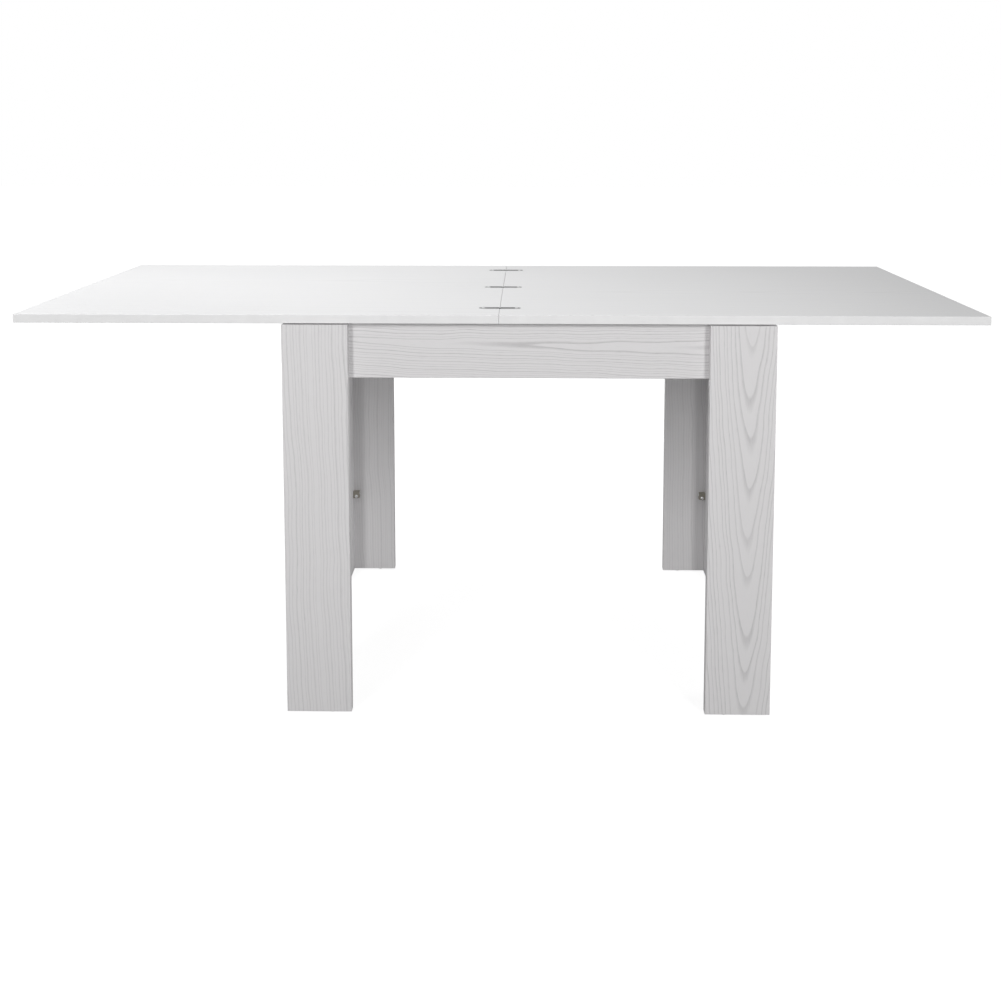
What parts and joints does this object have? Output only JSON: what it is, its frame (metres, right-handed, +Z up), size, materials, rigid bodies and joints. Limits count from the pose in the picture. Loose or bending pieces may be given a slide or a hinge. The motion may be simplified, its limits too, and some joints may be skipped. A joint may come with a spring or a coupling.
{
  "type": "flip-top extension dining table",
  "caption": "Square dining table on board legs whose stacked hinged leaves slide sideways and flip open flush to double its length.",
  "frame": {"origin": "on the floor, under the middle of the seam of the open top", "axes": "+Z up; +X along the open top, towards the sliding leaf's free end; -Y towards the sitter at the front"},
  "size_m": [1.8, 0.912, 0.7608],
  "materials": {
    "white_ash_top": "white melamine with a faint embossed ash grain, satin",
    "white_ash_leg": "white melamine with an embossed upright ash grain, satin",
    "white_ash_apron": "white melamine with an embossed level ash grain, satin",
    "edge_band": "white plastic edge band, satin",
    "corner_block": "brown-grey moulded plastic",
    "foot_plastic": "dark moulded plastic",
    "nylon": "natural nylon, slightly milky",
    "beech": "plain beech",
    "zinc_steel": "zinc-plated pressed steel",
    "channel_steel": "zinc-plated rolled steel",
    "runner_aluminium": "mill-finish extrusion",
    "hinge_nickel": "dull nickel plate, brushed along its length",
    "screw_steel": "bright zinc plate"
  },
  "bodies": {
    "base": {"apron_back": "white_ash_apron", "apron_bracket_back_left": "zinc_steel", "apron_bracket_back_right": "zinc_steel", "apron_bracket_front_left": "zinc_steel", "apron_bracket_front_right": "zinc_steel", "apron_front": "white_ash_apron", "apron_left": "white_ash_apron", "apron_right": "white_ash_apron", "bracket_screws": "screw_steel", "channel_back": "channel_steel", "channel_front": "channel_steel", "channel_screws": "screw_steel", "channel_stops": "nylon", "corner_block_screws": "screw_steel", "corner_blocks_back_left": "corner_block", "corner_blocks_back_right": "corner_block", "corner_blocks_front_left": "corner_block", "corner_blocks_front_right": "corner_block", "foot_glides": "foot_plastic", "glide_pads": "nylon", "leg_bolts": "screw_steel", "leg_dowels": "beech", "leg_face_back_left": "white_ash_leg", "leg_face_back_right": "white_ash_leg", "leg_face_front_left": "white_ash_leg", "leg_face_front_right": "white_ash_leg", "leg_side_back_left": "white_ash_leg", "leg_side_back_right": "white_ash_leg", "leg_side_front_left": "white_ash_leg", "leg_side_front_right": "white_ash_leg"},
    "sliding_leaf": {"edge_bands_right": "edge_band", "hinge_plate_right_back": "hinge_nickel", "hinge_plate_right_front": "hinge_nickel", "hinge_plate_right_middle": "hinge_nickel", "hinge_screws_right": "screw_steel", "leaf_right": "white_ash_top", "runner_back": "runner_aluminium", "runner_front": "runner_aluminium", "runner_screws": "screw_steel", "runner_shoes_back": "nylon", "runner_shoes_front": "nylon", "shoe_screws": "screw_steel"},
    "hinge_links": {"hinge_link_back": "hinge_nickel", "hinge_link_front": "hinge_nickel", "hinge_link_middle": "hinge_nickel", "hinge_pins": "screw_steel"},
    "flip_leaf": {"edge_bands_left": "edge_band", "hinge_plate_left_back": "hinge_nickel", "hinge_plate_left_front": "hinge_nickel", "hinge_plate_left_middle": "hinge_nickel", "hinge_screws_left": "screw_steel", "leaf_left": "white_ash_top"}
  },
  "joints": [
    {"name": "leaf_slide", "type": "slide", "parent": "base", "child": "sliding_leaf", "axis": [1, 0, 0], "range_m": [-0.395, 0]},
    {"name": "link_turn", "type": "hinge", "parent": "sliding_leaf", "child": "hinge_links", "pos_m": [0.003, 0, 0.7586], "axis": [0, 1, 0], "range_deg": [0, 90]},
    {"name": "leaf_flip", "type": "hinge", "parent": "hinge_links", "child": "flip_leaf", "pos_m": [-0.003, 0, 0.7586], "axis": [0, 1, 0], "range_deg": [0, 90]}
  ]
}
